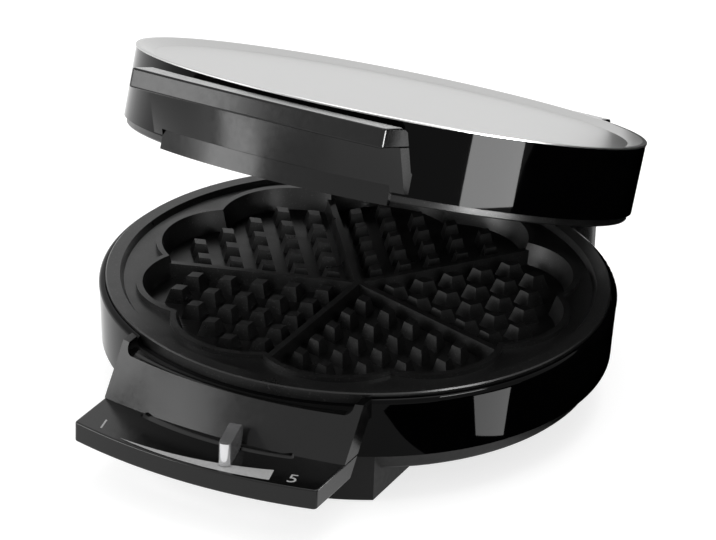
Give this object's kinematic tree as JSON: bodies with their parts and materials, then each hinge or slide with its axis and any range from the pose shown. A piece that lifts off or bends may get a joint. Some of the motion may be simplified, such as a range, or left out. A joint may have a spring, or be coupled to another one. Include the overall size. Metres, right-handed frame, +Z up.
{
  "type": "heart waffle maker",
  "caption": "Round electric waffle maker with heart-shaped studded baking plates, a hinged drum lid with a steel top, and a sliding heat knob on its front handle.",
  "frame": {"origin": "on the table, under the middle of the outline as the lid stands open", "axes": "+Z up, +Y from the handle to the hinge, +X to the right as seen from the handle"},
  "size_m": [0.208, 0.2738, 0.1594],
  "materials": {
    "black_gloss": "high gloss moulded plastic",
    "handle_satin": "satin heat-proof plastic",
    "under_matte": "fine matt moulded plastic",
    "nonstick": "dark non-stick coating on cast aluminium",
    "steel_skin": "brushed stainless steel",
    "plated": "bright plated",
    "zinc": "zinc plated steel",
    "sheet": "bright sheet",
    "element": "heat-stained steel tube",
    "ceramic_white": "unglazed",
    "soft_foot": "soft rubber"
  },
  "bodies": {
    "base": {"base_housing": "black_gloss", "front_panel": "handle_satin", "panel_screws": "zinc", "lower_baking_plate": "nonstick", "lower_heating_element": "element", "lower_heat_shield": "sheet", "lower_shield_screws": "zinc", "lower_plate_screws": "zinc", "thermostat": "ceramic_white", "thermal_fuse": "ceramic_white", "terminal_block": "ceramic_white", "bottom_cover": "under_matte", "rubber_feet": "soft_foot", "bottom_screws": "zinc", "hinge_tower": "handle_satin", "hinge_pins": "zinc", "cord_gland": "under_matte"},
    "slider": {"thermostat_spindle": "zinc", "temperature_lever": "zinc", "temperature_knob": "plated"},
    "lid": {"lid_housing": "black_gloss", "lid_top_plate": "steel_skin", "lid_handle": "handle_satin", "lid_handle_screws": "zinc", "lid_hinge_bracket": "handle_satin", "upper_baking_plate": "nonstick", "upper_plate_screws": "zinc", "upper_heating_element": "element", "upper_heat_shield": "sheet", "upper_shield_screws": "zinc"}
  },
  "joints": [
    {"name": "lid_hinge", "type": "hinge", "parent": "base", "child": "lid", "pos_m": [0, 0.1254, 0.0331], "axis": [-1, 0, 0], "range_deg": [-20.3, 79.7]},
    {"name": "heat_slider", "type": "hinge", "parent": "base", "child": "slider", "pos_m": [0, 0.0034, 0.0216], "axis": [0, 0, 1], "range_deg": [-19, 9.4]}
  ]
}
